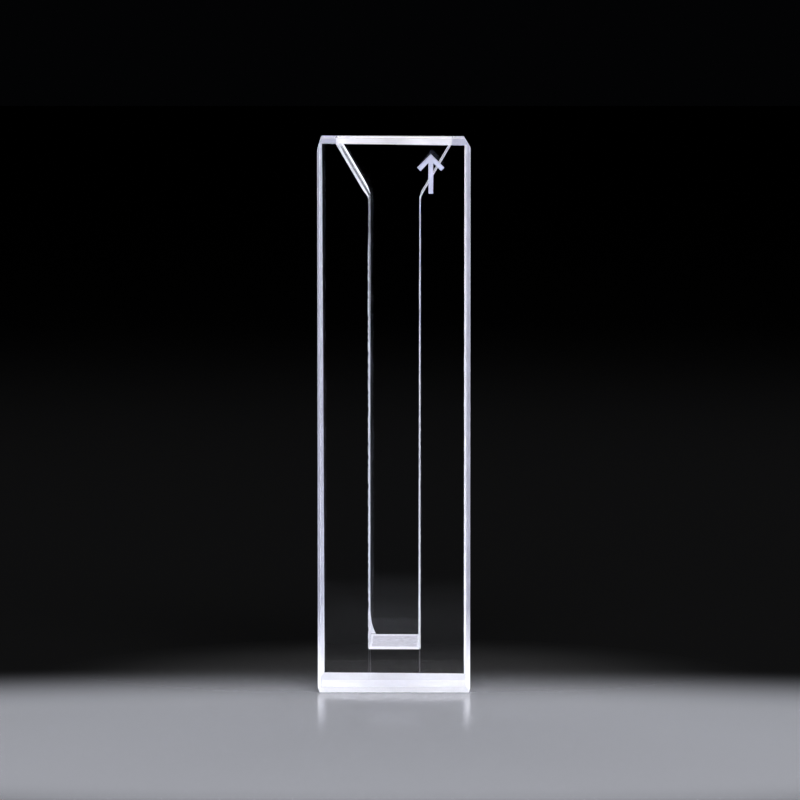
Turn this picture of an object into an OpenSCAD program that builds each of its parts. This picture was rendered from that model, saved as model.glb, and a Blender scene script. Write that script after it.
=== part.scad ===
// Semi-micro cuvette: a square column fused from five quartz plates,
// with a narrow full-depth slot that opens into a funnel mouth.
// Origin: centre of the foot. +Z up, +X right, front window towards -Y.

/* [Cell] */
// Outer width across the two ground sides
cell_w = 12.35; // [11.5:0.05:15]
// Outer height from foot to rim
cell_h = 45; // [36:0.5:60]

/* [Windows] */
// Light path between the two windows
path_l = 10; // [5:0.5:20]
// Thickness of each polished window
window_t = 1.25; // [1:0.05:2]

/* [Slot] */
// Width of the slot that holds the sample
slot_w = 4.1; // [2:0.1:5]
// Height of the solid base under the slot
base_h = 3.5; // [2:0.1:10]

/* [Funnel] */
// Width of the mouth at the rim
mouth_w = 9.7; // [8:0.1:10]
// Depth of the funnel below the rim
funnel_h = 4.8; // [3:0.1:8]
// Radius where a funnel slope turns into the slot wall
knee_r = 1; // [0.2:0.1:1.5]

/* [Edge bevels] */
// How far the rim bevel of a window reaches in from its face
rim_bevel_in = 0.5; // [0.2:0.05:0.8]
// How far the rim bevel of a window reaches down its face
rim_bevel_down = 0.6; // [0.2:0.05:1]
// How far the rim bevel of a side reaches in
side_bevel_in = 0.45; // [0.2:0.05:0.8]
// How far the rim bevel of a side reaches down
side_bevel_down = 0.9; // [0.2:0.05:1.5]
// How far the foot bevel of a window reaches in from its face
foot_bevel_in = 0.5; // [0.2:0.05:0.8]
// How far the foot bevel of a window reaches up its face
foot_bevel_up = 0.55; // [0.2:0.05:1]
// How far the foot bevel of a side reaches in
foot_side_in = 0.12; // [0.05:0.01:0.4]
// How far the foot bevel of a side reaches up
foot_side_up = 0.3; // [0.1:0.05:0.8]
// Width of the bevel down each upright edge
corner_bevel = 0.3; // [0.1:0.05:0.5]

/* [Orientation mark] */
// Width of the arrow's head
mark_w = 2.2; // [1:0.1:3]
// Height of the arrow
mark_h = 3.2; // [2:0.1:5]
// Width of the arrow's strokes
mark_stroke = 0.38; // [0.2:0.02:0.6]
// Depth of the engraving in the front window
mark_depth = 0.06; // [0.02:0.01:0.1]
// Centre of the mark in from the right side
mark_in = 3.2; // [2:0.1:5]
// Centre of the mark down from the rim
mark_down = 2.9; // [2.5:0.1:10]

/* [Hidden] */

cell_d = path_l + 2 * window_t;
half_w = cell_w / 2;
half_d = cell_d / 2;
half_slot = slot_w / 2;
half_path = path_l / 2;
slope_w = (mouth_w - slot_w) / 2;
// Angle of a funnel slope from the upright, and the length of wall that the knee's arc takes up
slope_angle = atan(slope_w / funnel_h);
knee_tangent = knee_r * tan(slope_angle / 2);
knee_z = cell_h - funnel_h;
knee_steps = 6;
// Cutting shapes run this far past what they cut
past = 1;

clear_quartz = [0.80, 0.86, 0.95, 0.35];
ground_quartz = [0.78, 0.79, 0.90, 0.85];

// Outline of the column seen from the front, with its four side bevels
module front_outline() {
    polygon([
        [-half_w + foot_side_in, 0],
        [half_w - foot_side_in, 0],
        [half_w, foot_side_up],
        [half_w, cell_h - side_bevel_down],
        [half_w - side_bevel_in, cell_h],
        [-half_w + side_bevel_in, cell_h],
        [-half_w, cell_h - side_bevel_down],
        [-half_w, foot_side_up],
    ]);
}

// Outline of the column seen from the side, with the window bevels
module side_outline() {
    polygon([
        [-half_d + foot_bevel_in, 0],
        [half_d - foot_bevel_in, 0],
        [half_d, foot_bevel_up],
        [half_d, cell_h - rim_bevel_down],
        [half_d - rim_bevel_in, cell_h],
        [-half_d + rim_bevel_in, cell_h],
        [-half_d, cell_h - rim_bevel_down],
        [-half_d, foot_bevel_up],
    ]);
}

// Outline of the column seen from above, with its four corner bevels
module plan_outline() {
    polygon([
        [-half_w + corner_bevel, -half_d],
        [half_w - corner_bevel, -half_d],
        [half_w, -half_d + corner_bevel],
        [half_w, half_d - corner_bevel],
        [half_w - corner_bevel, half_d],
        [-half_w + corner_bevel, half_d],
        [-half_w, half_d - corner_bevel],
        [-half_w, -half_d + corner_bevel],
    ]);
}

// The whole column as ground and bevelled after fusing, before the slot is taken out of it
module column() {
    intersection() {
        rotate([90, 0, 0]) linear_extrude(cell_d + 2 * past, center = true) front_outline();
        rotate([90, 0, 90]) linear_extrude(cell_w + 2 * past, center = true) side_outline();
        linear_extrude(cell_h) plan_outline();
    }
}

// The part of the column between two depths
module column_slice(y_from, y_to) {
    intersection() {
        column();
        translate([-half_w - past, y_from, -past]) cube([cell_w + 2 * past, y_to - y_from, cell_h + 2 * past]);
    }
}

// An upward arrow centred on the origin: a stem under a chevron
module arrow() {
    // A chevron stroke at 45 degrees is this tall where an upright line cuts it
    stroke_cut = mark_stroke * sqrt(2);
    tip = mark_h / 2;
    wing = mark_w / 2;
    translate([-mark_stroke / 2, -mark_h / 2]) square([mark_stroke, mark_h - stroke_cut]);
    polygon([
        [0, tip],
        [wing, tip - wing],
        [wing - stroke_cut / 2, tip - wing - stroke_cut / 2],
        [0, tip - stroke_cut],
        [-wing + stroke_cut / 2, tip - wing - stroke_cut / 2],
        [-wing, tip - wing],
    ]);
}

// Outline of the right-hand wall seen from the front: upright beside the slot,
// then round the knee and out along the funnel slope
module wall_outline() {
    knee_x = half_slot + knee_r;
    knee_arc_z = knee_z - knee_tangent;
    polygon(concat(
        [[half_w + past, 0], [half_w + past, cell_h + past], [half_slot + slope_w, cell_h + past]],
        [[half_slot + slope_w, cell_h]],
        [for (i = [knee_steps:-1:0])
            let (a = slope_angle * i / knee_steps)
            [knee_x - knee_r * cos(a), knee_arc_z + knee_r * sin(a)]],
        [[half_slot, 0]]
    ));
}

module wall() {
    intersection() {
        column_slice(-half_path, half_path);
        rotate([90, 0, 0]) linear_extrude(path_l, center = true) wall_outline();
    }
}

module front_window() {
    color(clear_quartz)
    difference() {
        column_slice(-half_d - past, -half_path);
        translate([half_w - mark_in, -half_d + mark_depth, cell_h - mark_down])
            rotate([90, 0, 0]) linear_extrude(mark_depth + past) arrow();
    }
}

module back_window() {
    color(clear_quartz) column_slice(half_path, half_d + past);
}

module left_wall() {
    color(ground_quartz) mirror([1, 0, 0]) wall();
}

module right_wall() {
    color(ground_quartz) wall();
}

module base_block() {
    color(ground_quartz)
    intersection() {
        column();
        translate([-half_slot, -half_path, -past]) cube([slot_w, path_l, base_h + past]);
    }
}

front_window();
back_window();
left_wall();
right_wall();
base_block();
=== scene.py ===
"""Looks of the quartz cuvette: five fused plates, with polished windows and ground sides, on a floor with a
painted pale pool of light that fades to painted shade.
"""

import math

import bmesh
import bpy
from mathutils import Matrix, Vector, noise


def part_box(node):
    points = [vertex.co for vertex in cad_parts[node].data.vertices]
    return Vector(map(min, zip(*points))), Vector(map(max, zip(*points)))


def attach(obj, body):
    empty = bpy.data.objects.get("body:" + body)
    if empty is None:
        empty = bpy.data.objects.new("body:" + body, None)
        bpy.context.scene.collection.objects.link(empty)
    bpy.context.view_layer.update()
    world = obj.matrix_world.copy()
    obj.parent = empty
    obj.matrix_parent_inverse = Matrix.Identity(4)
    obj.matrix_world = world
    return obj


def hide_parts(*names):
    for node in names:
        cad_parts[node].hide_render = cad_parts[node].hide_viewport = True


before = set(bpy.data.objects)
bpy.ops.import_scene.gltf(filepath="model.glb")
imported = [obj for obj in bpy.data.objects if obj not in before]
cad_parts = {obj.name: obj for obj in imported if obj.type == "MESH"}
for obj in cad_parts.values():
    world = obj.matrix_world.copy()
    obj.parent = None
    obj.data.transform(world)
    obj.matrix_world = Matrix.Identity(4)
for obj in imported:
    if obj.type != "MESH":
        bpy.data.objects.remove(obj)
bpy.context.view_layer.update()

MM = 0.001

# ---------------------------------------------------------------- sizes, from the frame

front_lo, front_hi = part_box("front_window")
back_lo, back_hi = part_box("back_window")
wall_lo, wall_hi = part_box("right_wall")
base_lo, base_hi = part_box("base_block")

half_w = wall_hi.x
half_d = back_hi.y
half_path = wall_hi.y
half_slot = base_hi.x
floor_z = base_hi.z
rim_z = wall_hi.z

# Right-hand edge of the slot above its floor, as (x, z): up the slot, round the knee and up the funnel
wall_points = [v.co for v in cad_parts["right_wall"].data.vertices]
half_mouth = min(p.x for p in wall_points if p.z > rim_z - 0.01 * MM)
inner_points = [p for p in wall_points if p.x < half_mouth + 0.01 * MM and p.z > floor_z]
slot_edge = sorted({(round(p.x, 7), round(p.z, 7)) for p in inner_points}, key=lambda point: point[1])

# The arrow's outline on the front window
window_points = [v.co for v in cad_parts["front_window"].data.vertices]
sunk_points = [p for p in window_points if front_lo.y + 0.01 * MM < p.y < front_hi.y - MM]
mark_points = [p for p in sunk_points if 0 < p.x < half_w - MM and rim_z / 2 < p.z < rim_z - MM]
mark_depth = mark_points[0].y - front_lo.y

# ---------------------------------------------------------------- sizes of the finish

# How deep the arris along the walls' edges reaches from the windows
ARRIS = 0.12 * MM
# What the slot and the funnel lose at the front window's edge, for the left (-1) and right (1) wall
SLOT_ARRIS = {-1: 0.05 * MM, 1: 0.10 * MM}
FUNNEL_ARRIS = {-1: 0.12 * MM, 1: 0.085 * MM}
# Over this height below the knee, the left wall's arris all but vanishes
THIN_ARRIS_H = 4.5 * MM
# The arris of the right wall also stands into the slot a little, more towards the foot
ARRIS_RISE = {-1: 0.0, 1: 0.07 * MM}
# What the fused bead at the back window's edge adds, less what BACK_OUT takes away
SLOT_BEAD = {-1: -0.06 * MM, 1: 0.03 * MM}
FUNNEL_BEAD = {-1: 0.08 * MM, 1: 0.03 * MM}
# The left wall's slot face is ground a little askew, so it lies this much further out at the back
BACK_OUT = {-1: 0.07 * MM, 1: 0.0}
# The bead runs out into a fillet at the slot's floor: how wide it gets, and how high it starts
FOOT_BEAD = {-1: 0.50 * MM, 1: 0.18 * MM}
FOOT_BEAD_H = {-1: 3.2 * MM, 1: 1.6 * MM}
# The left funnel face is ground a little askew, so its back edge at the rim is this much further in
SKEW = 0.05 * MM
# The rim over the mouth is painted whiter, as painted light from light through the mouth, up to this far inside
# it
RIM_PAINTED_LIGHT_INSET = 0.20 * MM
# Width of the fine edge between the rim and the windows' rim bevels
RIM_EDGE = 0.06 * MM
# How far the windows' clear slot area reaches past the arris
CLEAR_MARGIN = 0.02 * MM
# The fused bead round the slot's floor: how high it climbs, its width along the walls, and how much wider it is
# at the windows
FLOOR_BEAD = 0.05 * MM
FLOOR_BEAD_IN = 0.22 * MM
FLOOR_BEAD_END = 1.15 * MM
# How far the inner line of that bead wanders, and how long its bumps are
FLOOR_WOBBLE = 0.12 * MM
FLOOR_WOBBLE_SIZE = 0.7 * MM
# How strongly the slot's front edge is nicked below the knee, as a share of its arris, and how long a nick is
NICKS = {-1: 1.3, 1: 0.2}
NICK_SIZE = 0.35 * MM
# A window's polished face ends in a line that drifts, with fine bumps, and chips over a share of it
EDGE_DRIFT, EDGE_DRIFT_SIZE = 0.008 * MM, 1.3 * MM
EDGE_BUMP, EDGE_BUMP_SIZE = 0.006 * MM, 0.25 * MM
EDGE_CHIP, EDGE_CHIP_SIZE = 0.08 * MM, 0.4 * MM
CHIPPED_SHARE = 0.15
# Lengths of the pieces that the edges are divided into: windows, slot, slot floor and mark
WINDOW_PITCH = 0.12 * MM
SLOT_PITCH = 0.14 * MM
FLOOR_PITCH = 0.2 * MM
MARK_PITCH = 0.09 * MM
# How much the mark's outline wanders, and how long its bumps are
MARK_WOBBLE = 0.014 * MM
MARK_WOBBLE_SIZE = 0.12 * MM
# Width of the base block's upright arrises, each of which leaves a faint seam
SEAM = 0.006 * MM

# The bevels of the fused column were ground by hand, so each runs out a little from end to end. All in mm.
# The rim falls by this much at its right-hand end
RIM_DROP = 0.06
# Front (-1) and back (1) window, rim and foot: height at the left end and at the right end, reach inwards
WINDOW_RIM_BEVELS = {-1: (0.45, 0.61, 0.45), 1: (0.60, 0.62, 0.50)}
WINDOW_FOOT_BEVELS = {-1: (0.52, 0.56, 0.50), 1: (0.58, 0.50, 0.50)}
# Left side's rim: height at the front, then reach inwards at the front and at the back
LEFT_RIM_BEVEL = (0.96, 0.29, 0.02)
# Right side's rim, and the foot of the left (-1) and right (1) side: height at the front and at the back, and
# reach inwards
RIGHT_RIM_BEVEL = (0.86, 0.92, 0.55)
SIDE_FOOT_BEVELS = {-1: (0.45, 0.35, 0.12), 1: (0.40, 0.45, 0.12)}
# Upright corners: side of X, side of Y, width at the foot and width at the rim
CORNER_BEVELS = ((-1, -1, 0.20, 0.17), (1, -1, 0.30, 0.33), (-1, 1, 0.30, 0.13), (1, 1, 0.48, 0.46))

# ---------------------------------------------------------------- materials

QUARTZ_IOR = 1.458
# The windows' mirror image is held back to this share, so that the pale floor doesn't veil them
MIRROR_SHARE = 0.4
# Bumps a metre of the grinding marks, of the slow drift in tone, and of the dots on the slot's faces
GRIND_SCALE = 9000.0
DRIFT_SCALE = 160.0
DOT_SCALE = 4200.0
# The ground sides are painted whiter and less clear between these heights, towards the foot: painted light
SIDE_FOOT_PAINTED_LIGHT = (1 * MM, 7 * MM)
# The slot's faces turn clear between these heights, their dots come in, and the funnel starts
SLOT_CLEARS = (18 * MM, 36 * MM)
DOTS_START = (26 * MM, 34 * MM)
FUNNEL_STARTS = (40.0 * MM, 40.4 * MM)
# The funnel's faces turn white between these distances from the middle, towards the windows
FUNNEL_WHITENS = (2.4 * MM, 3.0 * MM)


def new_material(name):
    """An empty material, its node tree and its output."""
    material = bpy.data.materials.new(name)
    material.use_nodes = True
    tree = material.node_tree
    tree.nodes.clear()
    return material, tree, tree.nodes.new("ShaderNodeOutputMaterial")


def polished_quartz():
    """Clear, colourless and smooth."""
    material, tree, out = new_material("polished_quartz")
    glass = tree.nodes.new("ShaderNodeBsdfPrincipled")
    glass.inputs["Base Color"].default_value = (0.985, 0.99, 1.0, 1)
    glass.inputs["Roughness"].default_value = 0.0
    glass.inputs["IOR"].default_value = QUARTZ_IOR
    glass.inputs["Transmission Weight"].default_value = 1.0
    glass.inputs["Specular Tint"].default_value = (MIRROR_SHARE, MIRROR_SHARE, MIRROR_SHARE, 1)
    tree.links.new(glass.outputs[0], out.inputs["Surface"])
    return material


def cloud(tree, place, scale, detail=3.0):
    """Noise at so many bumps a metre."""
    made = tree.nodes.new("ShaderNodeTexNoise")
    made.inputs["Scale"].default_value = scale
    made.inputs["Detail"].default_value = detail
    tree.links.new(place.outputs["Object"], made.inputs["Vector"])
    return made.outputs["Fac"]


def spread(tree, value, low, high, to_low, to_high):
    """Maps low..high to to_low..to_high, held at the ends."""
    made = tree.nodes.new("ShaderNodeMapRange")
    made.inputs["From Min"].default_value = low
    made.inputs["From Max"].default_value = high
    made.inputs["To Min"].default_value = to_low
    made.inputs["To Max"].default_value = to_high
    tree.links.new(value, made.inputs["Value"])
    return made.outputs["Result"]


def math_node(tree, operation, a, b):
    """The result of a Math node on two outputs."""
    made = tree.nodes.new("ShaderNodeMath")
    made.operation = operation
    tree.links.new(a, made.inputs[0])
    tree.links.new(b, made.inputs[1])
    return made.outputs[0]


def axis(tree, place, name):
    """One coordinate of the object's own space, in metres."""
    split = tree.nodes.new("ShaderNodeSeparateXYZ")
    tree.links.new(place.outputs["Object"], split.inputs[0])
    return split.outputs[name]


# Sockets of a Mix node that is set to colour: its factor, its colours at 0 and at 1, and its result
FACTOR, AT_ZERO, AT_ONE = 0, 6, 7
MIXED = 2


def colour_mix(tree, share):
    """A Mix node for two colours, driven by share."""
    made = tree.nodes.new("ShaderNodeMix")
    made.data_type = "RGBA"
    tree.links.new(share, made.inputs[FACTOR])
    return made


def mottled(tree, place, tint, depth, scale=700.0):
    """The tint with fine grain and a slow drift, darker by up to depth."""
    grain = spread(tree, cloud(tree, place, scale), 0.3, 0.7, 0.0, 1.0)
    drift = spread(tree, cloud(tree, place, DRIFT_SCALE, 1.0), 0.35, 0.65, 0.3, 1.0)
    tone = colour_mix(tree, math_node(tree, "MULTIPLY", grain, drift))
    tone.inputs[AT_ZERO].default_value = tuple(c * (1 - depth) for c in tint) + (1,)
    tone.inputs[AT_ONE].default_value = tuple(tint) + (1,)
    return tone.outputs[MIXED]


def ground_skin(tree, place, tone, rough):
    """Ground quartz: a Principled and a Translucent shader with the same tone and bump, and their mix."""
    link = tree.links.new
    bump = tree.nodes.new("ShaderNodeBump")
    bump.inputs["Strength"].default_value = 0.5
    bump.inputs["Distance"].default_value = 0.02 * MM
    link(cloud(tree, place, GRIND_SCALE), bump.inputs["Height"])
    skin = tree.nodes.new("ShaderNodeBsdfPrincipled")
    skin.inputs["Roughness"].default_value = rough
    skin.inputs["IOR"].default_value = QUARTZ_IOR
    through = tree.nodes.new("ShaderNodeBsdfTranslucent")
    link(tone, skin.inputs["Base Color"])
    link(tone, through.inputs["Color"])
    link(bump.outputs[0], skin.inputs["Normal"])
    link(bump.outputs[0], through.inputs["Normal"])
    both = tree.nodes.new("ShaderNodeMixShader")
    link(skin.outputs[0], both.inputs[1])
    link(through.outputs[0], both.inputs[2])
    return skin, both


def ground_quartz(name, tint, glow, clear, rough, depth=0.15, scale=700.0):
    """Quartz ground matt: part rough glass, part white scatter, with light coming through from behind."""
    material, tree, out = new_material(name)
    place = tree.nodes.new("ShaderNodeTexCoord")
    skin, both = ground_skin(tree, place, mottled(tree, place, tint, depth, scale), rough)
    skin.inputs["Transmission Weight"].default_value = clear
    both.inputs[0].default_value = glow
    tree.links.new(both.outputs[0], out.inputs["Surface"])
    return material


def side_quartz_painted_foot_light(name, tint, painted_foot_light_tint, glow, clear, rough):
    """The ground sides: as ground_quartz, and painted whiter over the last few millimetres above the foot, as
    painted light.
    """
    material, tree, out = new_material(name)
    link = tree.links.new
    place = tree.nodes.new("ShaderNodeTexCoord")
    # Painted light: towards the foot the tone turns whiter and the glass less clear
    foot = spread(tree, axis(tree, place, "Z"), *SIDE_FOOT_PAINTED_LIGHT, 1.0, 0.0)
    tone = colour_mix(tree, foot)
    link(mottled(tree, place, tint, 0.15), tone.inputs[AT_ZERO])
    link(mottled(tree, place, painted_foot_light_tint, 0.05), tone.inputs[AT_ONE])
    skin, both = ground_skin(tree, place, tone.outputs[MIXED], rough)
    link(spread(tree, foot, 0.0, 1.0, clear, 0.1), skin.inputs["Transmission Weight"])
    both.inputs[0].default_value = glow
    link(both.outputs[0], out.inputs["Surface"])
    return material


def slot_whiteness(tree, place, low):
    """1 where a slot face is white and low where it is clearest: white towards the foot, clear with fine dots
    towards the knee, and white along both windows in the funnel."""
    z = axis(tree, place, "Z")
    across = tree.nodes.new("ShaderNodeMath")
    across.operation = "ABSOLUTE"
    tree.links.new(axis(tree, place, "Y"), across.inputs[0])
    height = spread(tree, z, *SLOT_CLEARS, 1.0, low)
    dots = spread(tree, cloud(tree, place, DOT_SCALE, 2.0), 0.50, 0.62, 0.0, 1.0)
    dots = math_node(tree, "MULTIPLY", dots, spread(tree, z, *DOTS_START, 0.0, 1.0))
    dots = math_node(tree, "MULTIPLY", dots, spread(tree, z, *FUNNEL_STARTS, 1.0, 0.0))
    edges = spread(tree, across.outputs[0], *FUNNEL_WHITENS, 0.0, 1.0)
    edges = math_node(tree, "MULTIPLY", edges, spread(tree, z, *FUNNEL_STARTS, 0.0, 1.0))
    return math_node(tree, "MAXIMUM", height, math_node(tree, "MAXIMUM", dots, edges))


def slot_quartz(name, tint, glow, low):
    """A finely ground slot face, which goes from clear to white and rough with its whiteness."""
    material, tree, out = new_material(name)
    link = tree.links.new
    place = tree.nodes.new("ShaderNodeTexCoord")
    white = slot_whiteness(tree, place, low)
    skin, both = ground_skin(tree, place, mottled(tree, place, tint, 0.1), 0.4)
    link(spread(tree, white, 0.0, 1.0, 0.04, 0.5), skin.inputs["Roughness"])
    link(spread(tree, white, 0.0, 1.0, 1.0, 0.05), skin.inputs["Transmission Weight"])
    link(spread(tree, white, 0.0, 1.0, 0.0, glow), both.inputs[0])
    link(both.outputs[0], out.inputs["Surface"])
    return material


def fused_joint():
    """Where two plates have fused, nothing shows."""
    material, tree, out = new_material("fused_joint")
    clear = tree.nodes.new("ShaderNodeBsdfTransparent")
    tree.links.new(clear.outputs[0], out.inputs["Surface"])
    return material


# The finishes, in the order of the list below
POLISHED, GROUND, FUSED, MARK, ARRISED, COARSE, SLOT_FACE = range(7)
RIM, RIM_PAINTED_LIGHT, EDGE, FOOT_BEVEL, SLOT_FLOOR = range(7, 12)
LAVENDER = (0.60, 0.61, 0.72)
RIM_LAVENDER = (0.43, 0.44, 0.55)
MARK_LAVENDER = (0.58, 0.60, 0.78)
WHITE = (0.97, 0.97, 0.99)
PALE_GREY = (0.80, 0.79, 0.84)
GREY = (0.40, 0.38, 0.41)
finishes = [
    polished_quartz(),
    # The ground sides carry painted light towards the foot
    side_quartz_painted_foot_light("ground_quartz", LAVENDER, WHITE, glow=0.32, clear=0.60, rough=0.5),
    fused_joint(),
    ground_quartz("frosted_mark", MARK_LAVENDER, glow=0.30, clear=0.45, rough=0.6),
    ground_quartz("ground_arris", WHITE, glow=0.45, clear=0.0, rough=0.6),
    ground_quartz("coarse_ground", WHITE, glow=0.03, clear=0.0, rough=0.7, depth=0.04),
    slot_quartz("slot_face", WHITE, glow=0.45, low=0.14),
    ground_quartz("ground_rim", RIM_LAVENDER, glow=0.30, clear=0.60, rough=0.5),
    # Painted light on the rim over the mouth
    ground_quartz("rim_with_painted_light", PALE_GREY, glow=0.30, clear=0.50, rough=0.5, depth=0.35, scale=300.0),
    ground_quartz("rim_edge", GREY, glow=0.20, clear=0.60, rough=0.4),
    ground_quartz("foot_bevel", WHITE, glow=0.55, clear=0.0, rough=0.7, depth=0.04),
    ground_quartz("slot_floor", PALE_GREY, glow=0.10, clear=0.0, rough=0.6, depth=0.45, scale=2600.0),
]

# ---------------------------------------------------------------- the ground faces of the fused column


def plane_through(a, b, c, out_hint):
    """The plane through three points in mm, as (point, normal), with the normal on out_hint's side."""
    a, b, c = (Vector(p) * MM for p in (a, b, c))
    normal = (b - a).cross(c - a).normalized()
    return a, normal if normal.dot(Vector(out_hint)) > 0 else -normal


def level_bevel(y, z, side, up, heights):
    """The bevel plane along X at a window's rim (up is 1) or foot (-1)."""
    left, right, inwards = heights
    w = half_w / MM
    left_end, right_end = (-w, y, z - up * left), (w, y, z - up * right)
    return plane_through(left_end, right_end, (0, y - side * inwards, z), (0, side, up))


def side_bevel(side, z, up, heights):
    """The bevel plane along Y at a side's rim (up is 1) or foot (-1)."""
    front, back, inwards = heights
    x, d = side * half_w / MM, half_d / MM
    front_end, back_end = (x, -d, z - up * front), (x, d, z - up * back)
    return plane_through(front_end, back_end, (x - side * inwards, 0, z), (side, 0, up))


def left_rim_bevel():
    """The left side's rim bevel, which all but runs out at the back."""
    height, front, back = LEFT_RIM_BEVEL
    w, d, top = half_w / MM, half_d / MM, rim_z / MM
    return plane_through((-w, -d, top - height), (-w + front, -d, top), (-w + back, d, top), (-1, 0, 1))


def corner_bevel(x, y, low, high):
    """The upright bevel at one corner, low wide at the foot and high wide at the rim."""
    w, d, top = half_w / MM, half_d / MM, rim_z / MM
    at_foot, at_rim = (x * (w - low), y * d, 0), (x * (w - high), y * d, top)
    return plane_through(at_foot, at_rim, (x * w, y * (d - low), 0), (x, y, 0))


def column_planes():
    """The ground faces that trim the fused column, as (point, normal, finish)."""
    w, d, top = half_w / MM, half_d / MM, rim_z / MM
    planes = [plane_through((-w, -d, top), (-w, d, top), (w, -d, top - RIM_DROP), (0, 0, 1))]
    planes += [level_bevel(y * d, top, y, 1, heights) for y, heights in WINDOW_RIM_BEVELS.items()]
    planes += [left_rim_bevel(), side_bevel(1, top, 1, RIGHT_RIM_BEVEL)]
    planes += [level_bevel(y * d, 0, y, -1, heights) for y, heights in WINDOW_FOOT_BEVELS.items()]
    planes += [side_bevel(x, 0, -1, heights) for x, heights in SIDE_FOOT_BEVELS.items()]
    planes = [(point, normal, RIM if normal.z > 0.3 else GROUND) for point, normal in planes]
    # The back right corner's bevel takes the whiter arris finish: painted light where the back-right light
    # falls
    for x, y, low, high in CORNER_BEVELS:
        planes.append((*corner_bevel(x, y, low, high), ARRISED if x > 0 and y > 0 else GROUND))
    return planes


def edge_x(side, at_back, z):
    """Where the wall's slot face meets a window at height z, before arris or bead."""
    x = half_slot
    for (xa, za), (xb, zb) in zip(slot_edge, slot_edge[1:]):
        skew = SKEW if side < 0 and at_back and zb == slot_edge[-1][1] else 0
        x = max(x, xa + (xb - xa) * (z - za) / (zb - za) - skew)
    return x


def ease(value):
    """A smooth step from 0 to 1."""
    value = min(1.0, max(0.0, value))
    return value * value * (3 - 2 * value)


def edge_shift(side, at_back, z):
    """How far a window's edge lies in the wall, by its arris, or else in the slot (below 0), by its bead."""
    up = ease((z - slot_edge[0][1]) / MM)
    low, high = (SLOT_BEAD, FUNNEL_BEAD) if at_back else (SLOT_ARRIS, FUNNEL_ARRIS)
    width = low[side] + (high[side] - low[side]) * up
    if not at_back:
        thin = ease((z - slot_edge[0][1] + THIN_ARRIS_H) / (2 * MM)) * (1 - up) if side < 0 else 0
        return width - low[side] * thin
    share = min(1.0, max(0.0, 1 - (z - floor_z) / FOOT_BEAD_H[side]))
    return -width - FOOT_BEAD[side] * share**4


def shifted_edge(side, at_back, z, margin=0.0):
    """Where the edge at height z lies once arrised or beaded, as x on the right-hand side."""
    step = 0.01 * MM
    lean = (edge_x(side, at_back, z + step) - edge_x(side, at_back, z - step)) / (2 * step)
    return edge_x(side, at_back, z) + (edge_shift(side, at_back, z) + margin) * math.hypot(1, lean)


def clear_edge(side, at_back):
    """The edge of a window's clear slot area, from the floor to the rim, just outside arris or bead."""
    levels = [floor_z + FLOOR_BEAD + CLEAR_MARGIN]
    levels += [floor_z + FLOOR_BEAD + FOOT_BEAD_H[side] * (step / 8) ** 1.5 for step in range(1, 9)]
    levels += [z for x, z in slot_edge[:-1]]
    levels += [slot_edge[-2][1] + (rim_z - slot_edge[-2][1]) * step / 5 for step in range(1, 6)]
    return [Vector((side * shifted_edge(side, at_back, z, CLEAR_MARGIN), z)) for z in levels]


# ---------------------------------------------------------------- bmesh helpers


def box(lo, hi, finish):
    """A box whose faces take the finish that finish(normal) gives."""
    bm = bmesh.new()
    bmesh.ops.create_cube(bm, size=1.0)
    size = hi - lo
    for v in bm.verts:
        v.co = Vector([lo[i] + (v.co[i] + 0.5) * size[i] for i in range(3)])
    bm.normal_update()
    for face in bm.faces:
        face.material_index = finish(face.normal)
    return bm


def cut(bm, point, normal, finish):
    """Takes away what lies past the plane and closes the cut with one face of that finish."""
    got = bmesh.ops.bisect_plane(
        bm,
        geom=bm.verts[:] + bm.edges[:] + bm.faces[:],
        plane_co=point,
        plane_no=normal,
        clear_outer=True,
        dist=1e-8,
    )
    rim = [e for e in got["geom_cut"] if isinstance(e, bmesh.types.BMEdge) and e.is_boundary]
    if len(rim) > 2:
        for face in bmesh.ops.contextual_create(bm, geom=rim)["faces"]:
            face.material_index = finish
    bm.normal_update()


def vertex_at(bm, face, point):
    """The face's vertex at the point, made on the edge that passes there if need be."""
    for v in face.verts:
        if (v.co - point).length < 1e-7:
            return v
    for edge in face.edges:
        a, b = (v.co for v in edge.verts)
        along = (b - a).length
        share = (point - a).dot(b - a) / along**2
        if 0 < share < 1 and (a + (b - a) * share - point).length < 1e-6:
            return bmesh.utils.edge_split(edge, edge.verts[0], share)[1]
    raise ValueError(f"no edge at {point}")


def faces_towards(bm, direction, least=0.95):
    """The faces whose normal has at least that much along the direction."""
    direction = Vector(direction)
    return [f for f in bm.faces if f.normal.dot(direction) > least]


def widest(faces):
    """The face with the largest area."""
    return max(faces, key=lambda f: f.calc_area())


def divide(edge, pitch):
    """Cuts an edge into even lengths of about pitch, and returns its new vertices and all its pieces."""
    pieces = max(1, round(edge.calc_length() / pitch))
    start, verts, edges = edge.verts[0], [], [edge]
    for left in range(pieces, 1, -1):
        made, start = bmesh.utils.edge_split(edge, start, 1 / left)
        verts.append(start)
        edges.append(made)
    return verts, edges


def wobble(point, size, seed):
    """Smooth unevenness from -1 to 1, with bumps about size long."""
    return noise.noise(Vector(point) / size + Vector((seed * 7.3, seed * 3.1, seed * 5.7)))


def nick(point, size, seed, share):
    """0 along most of an edge, rising towards 1 at a small chip. share is how much of the edge is chipped."""
    level = 0.5 + 0.5 * wobble(point, size, seed)
    return max(0.0, (level - (1 - share)) / share)


def bevel(bm, edges, width, finish):
    """A narrow flat bevel of that finish along the edges. Returns its faces."""
    got = bmesh.ops.bevel(
        bm,
        geom=edges,
        offset=width,
        offset_type="OFFSET",
        segments=1,
        affect="EDGES",
        material=finish,
    )
    bm.normal_update()
    return got["faces"]


# ---------------------------------------------------------------- plates


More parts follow.
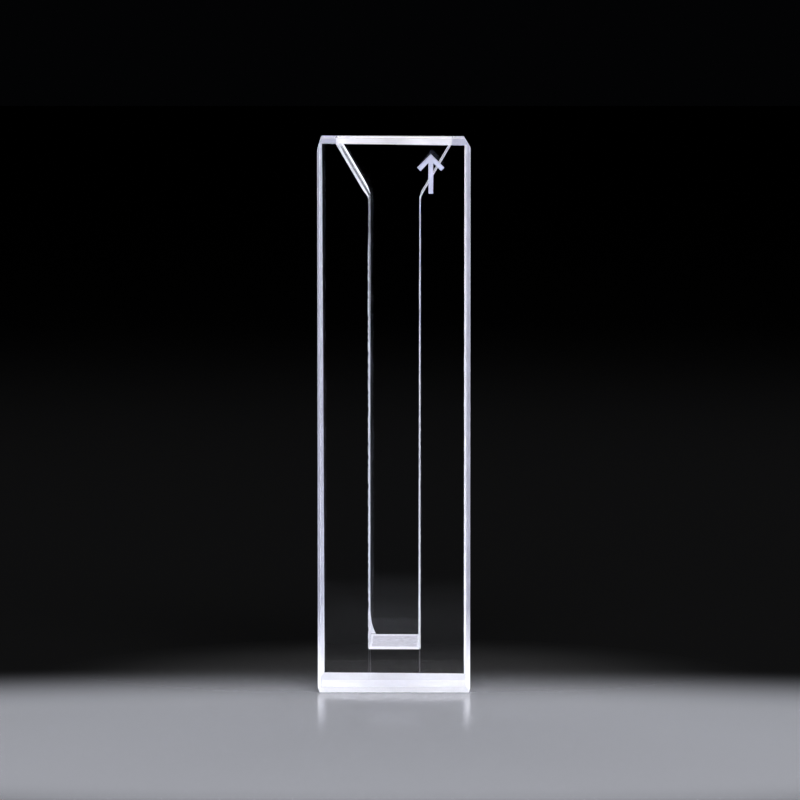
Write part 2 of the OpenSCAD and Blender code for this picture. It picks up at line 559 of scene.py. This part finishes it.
def window(lo, hi, outward):
    """A polished plate; outward is -1 for the front one and 1 for the back one."""

    def finish_of(normal):
        return POLISHED if abs(normal.y) > 0.5 else GROUND

    bm = box(lo, hi, finish_of)
    for point, normal, finish in column_planes():
        cut(bm, point, normal, finish)
    edge_the_rim(bm, outward)
    open_the_slot(bm, outward)
    coarsen_foot_and_paint_rim_light(bm, outward)
    roughen_window(bm, outward)
    if outward < 0:
        engrave(bm)
    return bm


def open_the_slot(bm, outward):
    """Parts the inner face into the polished area at the slot and the area fused to the walls and base."""
    inner = widest(faces_towards(bm, (0, -outward, 0)))
    y = inner.verts[0].co.y
    right, left = clear_edge(1, outward > 0), clear_edge(-1, outward > 0)
    upper = [e for e in inner.edges if min(v.co.z for v in e.verts) > rim_z - 0.2 * MM]
    rim_a, rim_b = (v.co.copy() for v in max(upper, key=lambda e: e.calc_length()).verts)

    def at_rim(x):
        return rim_a.lerp(rim_b, (x - rim_a.x) / (rim_b.x - rim_a.x))

    start = vertex_at(bm, inner, at_rim(left[-1].x))
    end = vertex_at(bm, inner, at_rim(right[-1].x))
    path = [Vector((x, y, z)) for x, z in left[-2::-1] + right[:-1]]
    bmesh.utils.face_split(inner, start, end, coords=path)
    bm.normal_update()
    for face in faces_towards(bm, (0, -outward, 0)):
        middle = face.calc_center_bounds().z
        face.material_index = POLISHED if abs(middle - (floor_z + rim_z) / 2) < MM else FUSED


def coarsen_foot_and_paint_rim_light(bm, outward):
    """The foot is ground coarsely, and the thin rim over the mouth is painted whiter than over the walls, as
    painted light where light comes through the mouth.
    """
    for x in (-half_mouth + RIM_PAINTED_LIGHT_INSET, half_mouth - RIM_PAINTED_LIGHT_INSET):
        rim = faces_towards(bm, (0, 0, 1), 0.3)
        around = list(dict.fromkeys(part for face in rim for part in (*face.edges, *face.verts)))
        bmesh.ops.bisect_plane(bm, geom=rim + around, plane_co=(x, 0, 0), plane_no=(1, 0, 0), dist=1e-8)
    bm.normal_update()
    for face in faces_towards(bm, (0, 0, 1), 0.3):
        if face.material_index == RIM and abs(face.calc_center_bounds().x) < half_mouth - RIM_PAINTED_LIGHT_INSET:
            # Painted light: over the mouth, the front bevel takes the whiter rim finish, and the flat rim and
            # the back window's rim take the white arris finish
            face.material_index = RIM_PAINTED_LIGHT if outward < 0 and face.normal.z < 0.95 else ARRISED
    coarsen_foot(bm)


def edge_the_rim(bm, outward):
    """A fine edge in a darker grey tone where the flat rim meets the window's rim bevel."""
    flat = set(faces_towards(bm, (0, 0, 1)))
    # That direction is 1.41 long, so this takes only what slopes about half way
    sloped = set(faces_towards(bm, (0, outward, 1), 1.2))
    edges = [e for e in bm.edges if set(e.link_faces) & flat and set(e.link_faces) & sloped]
    bevel(bm, edges, RIM_EDGE, EDGE)


def coarsen_foot(bm):
    """The underside and the bevels round it are ground coarsely."""
    for face in faces_towards(bm, (0, 0, -1), 0.3):
        if face.material_index == GROUND:
            face.material_index = COARSE if face.normal.z < -0.95 else FOOT_BEVEL


def roughen_window(bm, outward):
    """The polished face meets its ground bevels in a line that wanders a little and has small chips."""
    outer = widest(faces_towards(bm, (0, outward, 0)))
    centre = outer.calc_center_bounds()
    edges = [e for e in outer.edges if e.calc_length() > MM]
    verts = [v for edge in edges for v in divide(edge, WINDOW_PITCH)[0]]
    for v in verts:
        across = centre - v.co
        across.y = 0
        if abs(across.x) / half_w > abs(across.z) / (rim_z / 2):
            across.z = 0
        else:
            across.x = 0
        depth = EDGE_DRIFT * (1 + wobble(v.co, EDGE_DRIFT_SIZE, 1))
        depth += EDGE_BUMP * (1 + wobble(v.co, EDGE_BUMP_SIZE, 2))
        depth += EDGE_CHIP * nick(v.co, EDGE_CHIP_SIZE, 3, CHIPPED_SHARE)
        v.co += across.normalized() * depth


def arrow_outline():
    """The engraved arrow's outline, anticlockwise from the foot of its stem, as (x, z)."""
    xs, zs = [p.x for p in mark_points], [p.z for p in mark_points]
    mid, foot, tip = (min(xs) + max(xs)) / 2, min(zs), max(zs)
    wing = (max(xs) - min(xs)) / 2
    stem = min(abs(x - mid) for x in xs if abs(x - mid) > 0.01 * MM)
    slant = stem * 2 * math.sqrt(2)
    barb = slant / 2
    right = [
        (stem, foot),
        (stem, tip - slant - stem),
        (wing - barb, tip - wing - barb),
        (wing, tip - wing),
        (0, tip),
    ]
    outline = right + [(-x, z) for x, z in right[-2::-1]]
    return [Vector((mid + x, 0, z)) for x, z in outline]


def engrave(bm):
    """Sinks the frosted arrow into the front face."""
    face = widest(faces_towards(bm, (0, -1, 0)))
    depth = Vector((0, mark_depth, 0))
    y = face.calc_center_median().y
    corners = arrow_outline()
    outline = []
    for a, b in zip(corners, corners[1:] + corners[:1]):
        steps = max(1, round((b - a).length / MARK_PITCH))
        for i in range(steps):
            p = a + (b - a) * (i / steps)
            aside = Vector((wobble(p, MARK_WOBBLE_SIZE, 11), 0, wobble(p, MARK_WOBBLE_SIZE, 12)))
            p += aside * MARK_WOBBLE
            outline.append(Vector((p.x, y, p.z)))
    border = list(face.edges)
    bmesh.ops.delete(bm, geom=[face], context="FACES_ONLY")
    top = [bm.verts.new(p) for p in outline]
    low = [bm.verts.new(p + depth) for p in outline]
    ring = [bm.edges.new((a, b)) for a, b in zip(top, top[1:] + top[:1])]
    filled = bmesh.ops.triangle_fill(bm, edges=border + ring, use_beauty=True, use_dissolve=False)
    for made in filled["geom"]:
        if isinstance(made, bmesh.types.BMFace):
            made.material_index = POLISHED
    for i in range(len(top)):
        j = i - 1
        bm.faces.new((top[j], top[i], low[i], low[j])).material_index = MARK
    bm.faces.new(low).material_index = MARK


def wall(side):
    """The left (-1) or right (1) wall between the windows."""
    lo = Vector((min(side * half_slot, side * half_w), -half_path, 0))
    hi = Vector((max(side * half_slot, side * half_w), half_path, rim_z))

    def box_finish(normal):
        if abs(normal.y) > 0.5:
            return FUSED
        return SLOT_FACE if normal.x * side < -0.5 else GROUND

    bm = box(lo, hi, box_finish)
    for point, normal, finish in column_planes():
        cut(bm, point, normal, finish)
    for (xa, za), (xb, zb) in zip(slot_edge, slot_edge[1:]):
        low_front = Vector((side * xa, -half_path, za))
        high_front = Vector((side * xb, -half_path, zb))
        skew = SKEW if side < 0 and zb == slot_edge[-1][1] else 0
        high_back = Vector((side * (xb - skew), half_path, zb))
        cut(bm, low_front, (high_front - low_front).cross(high_back - low_front) * side, SLOT_FACE)
    slot_face = widest(faces_towards(bm, (-side, 0, 0), 0.9))
    foot = [Vector((side * half_slot, y, floor_z + FLOOR_BEAD)) for y in (-half_path, half_path)]
    a, b = (vertex_at(bm, slot_face, point) for point in foot)
    bmesh.utils.face_split(slot_face, a, b)
    bm.normal_update()
    for face in faces_towards(bm, (-side, 0, 0), 0.9):
        if face.calc_center_bounds().z < floor_z + FLOOR_BEAD:
            face.material_index = FUSED
    coarsen_foot(bm)
    arris_slot(bm, side)
    return bm


def arris_slot(bm, side):
    """Where the slot face meets the windows: an uneven arris at the front, and a fused bead at the back."""
    knee_z = slot_edge[0][1]

    def at_window(v):
        return abs(abs(v.co.y) - half_path) < 1e-7

    edges = []
    for edge in bm.edges:
        a, b = edge.verts
        if {f.material_index for f in edge.link_faces} == {SLOT_FACE, FUSED}:
            if at_window(a) and at_window(b) and abs(a.co.y - b.co.y) < 1e-7:
                edges.append(edge)
    chain = [part for edge in edges for part in divide(edge, SLOT_PITCH)[1]]
    faces = bevel(bm, chain, ARRIS, ARRISED)
    for v in {v for face in faces for v in face.verts}:
        z, at_back = v.co.z, v.co.y > 0
        if at_window(v):
            x = shifted_edge(side, at_back, z)
            if not at_back and z < knee_z:
                nicks = NICKS[side] * wobble((0, 0, z), NICK_SIZE, 21)
                x += SLOT_ARRIS[side] * max(-0.8, min(0.2, nicks))
            v.co.x = side * x
        elif at_back:
            straight = ease((z - floor_z - FLOOR_BEAD) / MM) * (1 - ease((z - knee_z) / MM))
            v.co.x += side * BACK_OUT[side] * straight
        else:
            v.co.x -= side * ARRIS_RISE[side] * (1 - ease(z / rim_z))
    bm.normal_update()


def base():
    """The block that closes the slot: a ground floor in a white bead, and a trace of seam at each corner."""

    def finish_of(normal):
        if abs(normal.z) < 0.5:
            return FUSED
        return COARSE if normal.z < 0 else SLOT_FLOOR

    bm = box(base_lo, base_hi, finish_of)
    upright = [e for e in bm.edges if abs(e.verts[0].co.z - e.verts[1].co.z) > MM]
    bevel(bm, upright, SEAM, GROUND)
    top = widest(faces_towards(bm, (0, 0, 1)))
    for edge in [e for e in top.edges if e.calc_length() > MM]:
        divide(edge, FLOOR_PITCH)
    bm.normal_update()
    outer = set(top.verts)
    ring = bmesh.ops.inset_region(bm, faces=[top], thickness=FLOOR_BEAD_IN, use_even_offset=True)["faces"]
    for face in ring:
        face.material_index = ARRISED
    for v in outer:
        v.co.z += FLOOR_BEAD
    for v in top.verts:
        if abs(v.co.y) > half_path - MM:
            v.co.y -= math.copysign(FLOOR_BEAD_END, v.co.y)
        outward = Vector((v.co.x, v.co.y, 0)).normalized()
        v.co += outward * FLOOR_WOBBLE * wobble(v.co, FLOOR_WOBBLE_SIZE, 31)
    bm.normal_update()
    return bm


def piece(name, bm, cad_node):
    """The object made from a plate's bmesh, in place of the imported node."""
    bmesh.ops.recalc_face_normals(bm, faces=bm.faces[:])
    bmesh.ops.triangulate(bm, faces=[f for f in bm.faces if len(f.verts) > 4])
    mesh = bpy.data.meshes.new(name)
    bm.to_mesh(mesh)
    bm.free()
    for material in finishes:
        mesh.materials.append(material)
    made = bpy.data.objects.new(name, mesh)
    bpy.context.scene.collection.objects.link(made)
    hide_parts(cad_node)
    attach(made, "root")
    return made


piece("front_window_plate", window(front_lo, front_hi, -1), "front_window")
piece("back_window_plate", window(back_lo, back_hi, 1), "back_window")
piece("left_wall_plate", wall(-1), "left_wall")
piece("right_wall_plate", wall(1), "right_wall")
piece("base_block_plate", base(), "base_block")

# ---------------------------------------------------------------- floor, light and camera

# The floor's painted pool of light is an oval, long across: its middle, and where it starts and ends to fade to
# painted shade along Y
PAINTED_POOL_MIDDLE = (0, -0.034, 0)
PAINTED_POOL_LIT_REACH, PAINTED_POOL_SHADE_START = 0.020, 0.046
PAINTED_POOL_STRETCH = 2.2
# The floor is glossy near the object only
GLOSS_NEAR, GLOSS_FAR = 0.008, 0.034
FLOOR_GLOSS = 0.32
FLOOR_ROUGHNESS = 0.16
# The floor's colour inside the painted pool of light, and its painted shade away from it
PAINTED_POOL_FLOOR_LIT = (0.130, 0.133, 0.142, 1)
PAINTED_SHADE_FLOOR = (0.002, 0.002, 0.002, 1)
FLOOR_REACH = 6.0
# The floor lies this far under the foot, so that the two don't share a plane
FLOOR_DROP = 0.02 * MM


def faded(tree, place, stretch, middle, near, far):
    """0 within near of the middle, rising smoothly to 1 at far, in space stretched along X."""
    link = tree.links.new
    scaled = tree.nodes.new("ShaderNodeVectorMath")
    scaled.operation = "MULTIPLY"
    link(place.outputs["Object"], scaled.inputs[0])
    scaled.inputs[1].default_value = (1 / stretch, 1, 1)
    away = tree.nodes.new("ShaderNodeVectorMath")
    away.operation = "DISTANCE"
    link(scaled.outputs[0], away.inputs[0])
    away.inputs[1].default_value = middle
    fade = tree.nodes.new("ShaderNodeMapRange")
    fade.interpolation_type = "SMOOTHERSTEP"
    fade.inputs["From Min"].default_value = near
    fade.inputs["From Max"].default_value = far
    link(away.outputs["Value"], fade.inputs["Value"])
    return fade.outputs["Result"]


def floor_painted_light_pool():
    """A matt floor with a painted pale pool of light round the object, glossy near the object, and painted dark
    as painted shade behind it.
    """
    material, tree, out = new_material("floor_painted_light_pool")
    link = tree.links.new
    place = tree.nodes.new("ShaderNodeTexCoord")
    # Painted light: pale in an oval pool round the object, fading to painted shade further away
    tone = colour_mix(tree, faded(tree, place, PAINTED_POOL_STRETCH, PAINTED_POOL_MIDDLE, PAINTED_POOL_LIT_REACH, PAINTED_POOL_SHADE_START))
    tone.inputs[AT_ZERO].default_value = PAINTED_POOL_FLOOR_LIT
    tone.inputs[AT_ONE].default_value = PAINTED_SHADE_FLOOR
    matt = tree.nodes.new("ShaderNodeBsdfDiffuse")
    link(tone.outputs[MIXED], matt.inputs["Color"])
    away = faded(tree, place, 1.0, (0, 0, 0), GLOSS_NEAR, GLOSS_FAR)
    shine = tree.nodes.new("ShaderNodeBsdfGlossy")
    shine.inputs["Roughness"].default_value = FLOOR_ROUGHNESS
    link(spread(tree, away, 0.0, 1.0, FLOOR_GLOSS, 0.0), shine.inputs["Color"])
    both = tree.nodes.new("ShaderNodeAddShader")
    link(matt.outputs[0], both.inputs[0])
    link(shine.outputs[0], both.inputs[1])
    link(both.outputs[0], out.inputs["Surface"])
    return material


floor_mesh = bpy.data.meshes.new("floor")
floor_corners = [(x * FLOOR_REACH, y * FLOOR_REACH, 0) for x, y in ((-1, -1), (1, -1), (1, 1), (-1, 1))]
floor_mesh.from_pydata(floor_corners, [], [(0, 1, 2, 3)])
floor_mesh.materials.append(floor_painted_light_pool())
floor = bpy.data.objects.new("floor", floor_mesh)
floor.location.z = -FLOOR_DROP
bpy.context.scene.collection.objects.link(floor)

world = bpy.data.worlds.new("studio")
bpy.context.scene.world = world
world.use_nodes = True
background = world.node_tree.nodes["Background"]
background.inputs["Color"].default_value = (0.6, 0.65, 0.8, 1)
background.inputs["Strength"].default_value = 0.0015

# Name, place, width, height, power in watts and colour of each softbox
NEUTRAL, COOL, SOFT_WHITE = (1.0, 1.0, 1.0), (0.86, 0.88, 1.0), (0.97, 0.97, 1.0)
SOFTBOXES = (
    ("top_light", (0, 0.03, 0.32), 0.25, 0.25, 0.5, NEUTRAL),
    ("left_light", (-0.30, 0.10, 0.06), 0.18, 0.12, 1.1, COOL),
    ("right_light", (0.28, 0.20, 0.06), 0.18, 0.12, 1.35, COOL),
    ("front_light", (0.05, -0.34, 0.30), 0.30, 0.20, 4.7, SOFT_WHITE),
    ("back_light", (0, 0.30, 0.28), 0.30, 0.20, 1.2, SOFT_WHITE),
)


def softbox(name, place, width, height, power, colour):
    """An area light that faces the middle of the cell."""
    data = bpy.data.lights.new(name, "AREA")
    data.shape = "RECTANGLE"
    data.size, data.size_y = width, height
    data.energy = power
    data.color = colour
    lamp = bpy.data.objects.new(name, data)
    lamp.location = place
    aim = Vector((0, 0, rim_z / 2)) - Vector(place)
    lamp.rotation_euler = aim.to_track_quat("-Z", "Y").to_euler()
    bpy.context.scene.collection.objects.link(lamp)


for row in SOFTBOXES:
    softbox(*row)

# The camera looks a little down and to the left, from in front of the cell and right of its middle
CAMERA_LENS = 208.0
CAMERA_RIGHT = 5.14 * MM
CAMERA_AWAY = 372.2 * MM
CAMERA_HEIGHT = 50.5 * MM
CAMERA_DOWN = 4.094
CAMERA_TURN = 0.715

camera_data = bpy.data.cameras.new("camera")
camera_data.lens = CAMERA_LENS
camera_data.clip_start = 0.01
camera = bpy.data.objects.new("camera", camera_data)
camera.location = (CAMERA_RIGHT, front_lo.y - CAMERA_AWAY, CAMERA_HEIGHT)
camera.rotation_euler = (math.radians(90 - CAMERA_DOWN), 0, math.radians(CAMERA_TURN))
bpy.context.scene.collection.objects.link(camera)
bpy.context.scene.camera = camera

scene = bpy.context.scene
scene.view_settings.view_transform = "Standard"
scene.cycles.max_bounces = 24
scene.cycles.transmission_bounces = 20
scene.cycles.transparent_max_bounces = 24
scene.cycles.glossy_bounces = 8
scene.cycles.diffuse_bounces = 12
